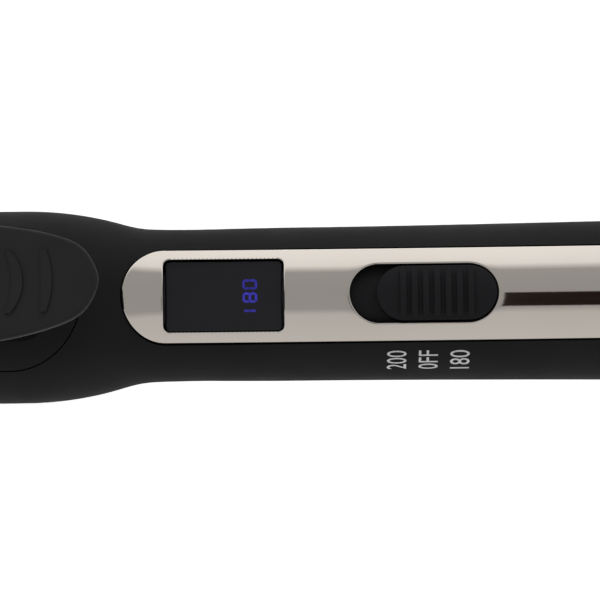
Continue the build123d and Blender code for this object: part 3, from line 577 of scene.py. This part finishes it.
def digit_mesh(name, figure, material):
    verts, faces = [], []
    for code in FIGURES[figure]:
        cx, cy, upright = STROKES[code]
        if figure == "1":
            cx = 0.0
        base, ring = len(verts), stroke_ring(upright)
        for z in (0.0, DIGIT_T):
            verts += [(cx + x, cy + y, z) for x, y in ring]
        faces.append([base + 6 + i for i in range(6)])
        faces.append([base + i for i in reversed(range(6))])
        for i in range(6):
            j = (i + 1) % 6
            faces.append([base + i, base + j, base + 6 + j, base + 6 + i])
    return add_mesh(name, verts, faces, material)


for place, figure in enumerate("180"):
    glow = display_glow(f"display_digit_blue_{place + 1}", DIGIT_GLOW[place])
    digit = digit_mesh(f"display_digit_{place + 1}", figure, glow)
    digit_y = FIRST_DIGIT_Y + place * DIGIT_PITCH
    for v in digit.data.vertices:
        v.co = Vector((DIGIT_X - v.co.y, digit_y + v.co.x, lens_high[2] + DIGIT_LIFT + v.co.z))
    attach(digit, "handle")


# ---------------------------------------------------------------- the clamp spring
WIRE_R, COIL_TURNS = 0.5 * MM, 6.5
COIL_R = (spring_high[0] - spring_low[0]) / 2 - WIRE_R
END_PITCH = 0.35  # pitch at the closed end turns, as a share of the even pitch
STEPS_PER_TURN, WIRE_SIDES = 40, 10


def spring_mesh(name, material):
    """A compression spring on an upright axis, with closed end turns."""
    low, high = spring_low[2] + WIRE_R, spring_high[2] - WIRE_R
    steps = int(COIL_TURNS * STEPS_PER_TURN)
    verts, faces = [], []
    for i in range(steps + 1):
        t = i / steps
        eased = t * t * (3 - 2 * t)
        height = low + (high - low) * (END_PITCH * t + (1 - END_PITCH) * eased)
        turned = 2 * pi * COIL_TURNS * t
        for j in range(WIRE_SIDES):
            a = 2 * pi * j / WIRE_SIDES
            r = COIL_R + WIRE_R * cos(a)
            verts.append((SPRING_X + r * cos(turned), r * sin(turned), height + WIRE_R * sin(a)))
    for first in range(0, steps * WIRE_SIDES, WIRE_SIDES):
        for j in range(WIRE_SIDES):
            near, far = first + j, first + (j + 1) % WIRE_SIDES
            faces.append([near, far, far + WIRE_SIDES, near + WIRE_SIDES])
    faces.append(list(range(WIRE_SIDES)))
    faces.append([steps * WIRE_SIDES + j for j in reversed(range(WIRE_SIDES))])
    obj = add_mesh(name, verts, faces, material)
    for face in obj.data.polygons:
        face.use_smooth = True
    return obj


coil = spring_mesh("clamp_spring_coil", SLOT_MATERIALS["spring_steel"])
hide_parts("clamp_spring")
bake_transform(coil)


# ---------------------------------------------------------------- stage, light and camera
FLOOR_HALF, FLOOR_GLOW = 4.0, 0.76
CARD_LOW, CARD_HIGH, CARD_Z = (0.150, -0.19), (0.27, 0.075), 0.8
KEY_PLACE, KEY_SIZE, KEY_WATTS = (0.0, 1.1, 0.75), (1.6, 0.5), 4.0
CAMERA_TILT = radians(7.5)  # from straight down, towards -Y
CAMERA_ROLL = radians(0.72)
CAMERA_DISTANCE = 0.6
VIEW_X, VIEW_RISE = 77 * MM, 0.81 * MM  # the picture's middle: along the iron, and up from its axis
SENSOR_MM, LENS_MM = 36, 180

# The studio as seen from the iron: degrees from overhead, + towards +Y, and the brightness there.
STUDIO = [
    (-90, 0.36), (-68, 0.56), (-23, 0.50), (-15, 0.33), (10, 0.32), (39.5, 0.34),
    (45, 0.58), (49.5, 0.80), (62, 0.86), (84, 0.90), (90, 0.6),
]


def level_sheet(name, low, high, z, material):
    """One upward-facing rectangle for the stage."""
    corners = [(low[0], low[1], z), (high[0], low[1], z), (high[0], high[1], z), (low[0], high[1], z)]
    obj = add_mesh(name, corners, [[0, 1, 2, 3]], material)
    return obj


def floor():
    g = Graph("pale_floor", rough=0.9, specular=0.1)
    g.set("Base Color", (0.9, 0.9, 0.9, 1))
    g.set("Emission Color", (1, 1, 1, 1))
    g.set("Emission Strength", FLOOR_GLOW)
    level_sheet("stage_floor", (-FLOOR_HALF, -FLOOR_HALF), (FLOOR_HALF, FLOOR_HALF), 0, g.material)


def dark_card():
    """A black card high over the cord end, seen only in the plating."""
    g = Graph("card_black", rough=0.9, specular=0.0)
    g.set("Base Color", (0.012, 0.008, 0.007, 1))
    card = level_sheet("dark_card", CARD_LOW, CARD_HIGH, CARD_Z, g.material)
    card.visible_camera = False
    card.visible_diffuse = False
    card.visible_shadow = False
    card.visible_transmission = False


def studio_world():
    """Light from all round whose brightness depends only on the angle about the iron's length."""
    world = bpy.data.worlds.new("studio")
    bpy.context.scene.world = world
    world.use_nodes = True
    nodes, link = world.node_tree.nodes, world.node_tree.links.new
    coord = nodes.new("ShaderNodeTexCoord")
    split = nodes.new("ShaderNodeSeparateXYZ")
    angle = nodes.new("ShaderNodeMath")
    angle.operation = "ARCTAN2"
    span = nodes.new("ShaderNodeMapRange")
    span.inputs["From Min"].default_value = -pi / 2
    span.inputs["From Max"].default_value = pi / 2
    ramp = nodes.new("ShaderNodeValToRGB")
    set_stops(ramp, [((degrees + 90) / 180, (level, level, level)) for degrees, level in STUDIO])
    link(coord.outputs["Generated"], split.inputs[0])
    link(split.outputs["Y"], angle.inputs[0])
    link(split.outputs["Z"], angle.inputs[1])
    link(angle.outputs[0], span.inputs["Value"])
    link(span.outputs["Result"], ramp.inputs["Fac"])
    link(ramp.outputs["Color"], nodes["Background"].inputs["Color"])


def key_light():
    """A long soft box high on the +Y side, which reflections don't show."""
    lamp = bpy.data.lights.new("key_softbox", "AREA")
    lamp.shape = "RECTANGLE"
    lamp.size, lamp.size_y = KEY_SIZE
    lamp.energy = KEY_WATTS
    obj = add_object("key_softbox", lamp)
    obj.location = KEY_PLACE
    aim = Vector((0, 0, AXIS_Z)) - Vector(KEY_PLACE)
    obj.rotation_euler = aim.to_track_quat("-Z", "Y").to_euler()
    obj.visible_glossy = False


def camera():
    back = Vector((0, -sin(CAMERA_TILT), cos(CAMERA_TILT)))
    up = Vector((0, cos(CAMERA_TILT), sin(CAMERA_TILT)))
    right = Vector((1, 0, 0))
    rolled_right = right * cos(CAMERA_ROLL) - up * sin(CAMERA_ROLL)
    rolled_up = right * sin(CAMERA_ROLL) + up * cos(CAMERA_ROLL)
    place = Vector((VIEW_X, 0, AXIS_Z)) + up * VIEW_RISE + back * CAMERA_DISTANCE
    lens = bpy.data.cameras.new("camera")
    lens.sensor_width = SENSOR_MM
    lens.lens = LENS_MM
    lens.clip_start = 0.01
    obj = add_object("camera", lens)
    turned = Matrix((rolled_right, rolled_up, back)).transposed()
    obj.matrix_world = Matrix.Translation(place) @ turned.to_4x4()
    bpy.context.scene.camera = obj


floor()
dark_card()
studio_world()
key_light()
camera()
bpy.context.scene.view_settings.view_transform = "Standard"
